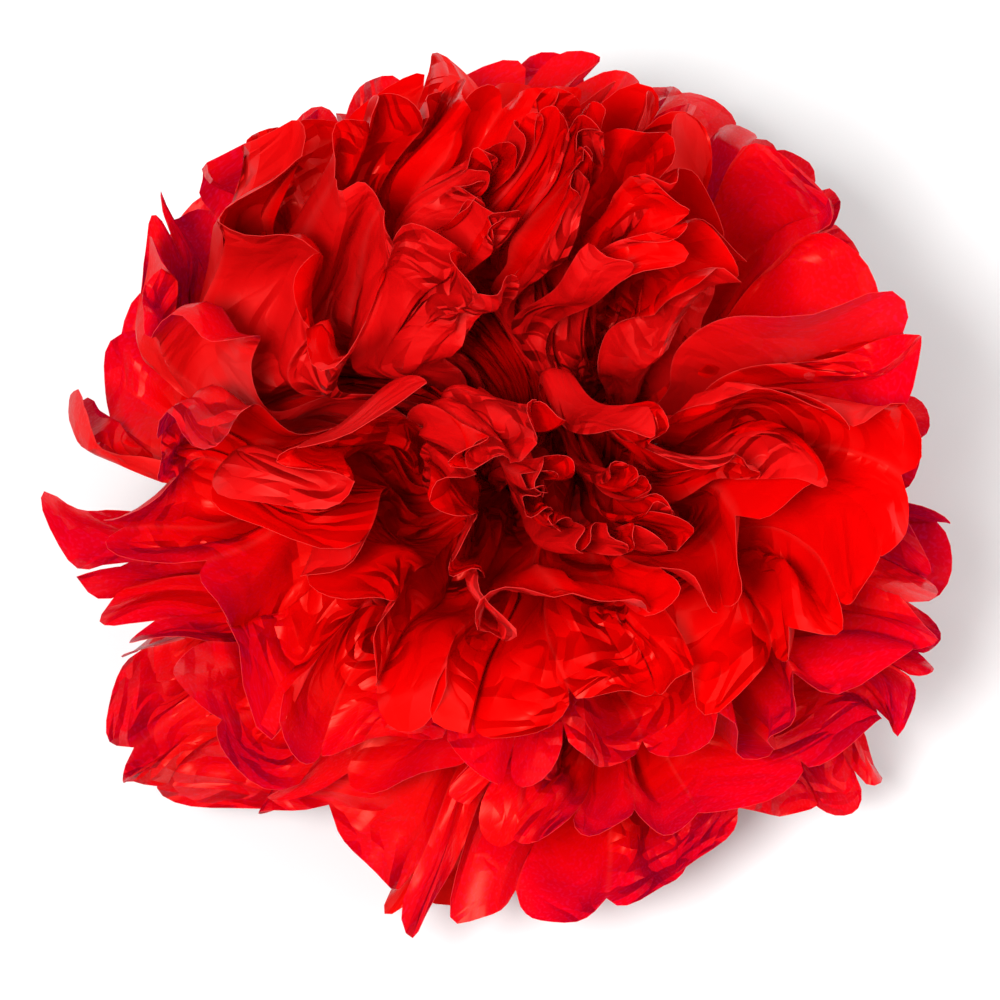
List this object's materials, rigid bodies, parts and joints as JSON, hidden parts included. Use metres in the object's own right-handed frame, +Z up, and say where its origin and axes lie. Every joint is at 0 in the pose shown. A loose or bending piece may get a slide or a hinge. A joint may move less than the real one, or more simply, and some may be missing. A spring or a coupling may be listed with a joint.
{
  "type": "tissue paper pom pom",
  "caption": "Ball-shaped paper decoration: accordion-folded tissue sheets with round lobes, tied at the waist with wire and fluffed into petals, lying on a table.",
  "frame": {"origin": "under the middle of the ball, on the table that it lies on", "axes": "+Z up from the table, the wire loop round the sheets lies in the XZ plane, and the two halves of each sheet fan out to +Y and -Y"},
  "size_m": [0.2502, 0.2456, 0.2003],
  "materials": {
    "red_tissue": "thin translucent tissue, satin on creases",
    "steel_wire": "galvanised"
  },
  "bodies": {
    "root": {"tissue_sheet_01": "red_tissue", "tissue_sheet_02": "red_tissue", "tissue_sheet_03": "red_tissue", "tissue_sheet_04": "red_tissue", "tissue_sheet_05": "red_tissue", "tissue_sheet_06": "red_tissue", "tissue_sheet_07": "red_tissue", "tissue_sheet_08": "red_tissue", "wire_tie": "steel_wire"}
  },
  "joints": []
}
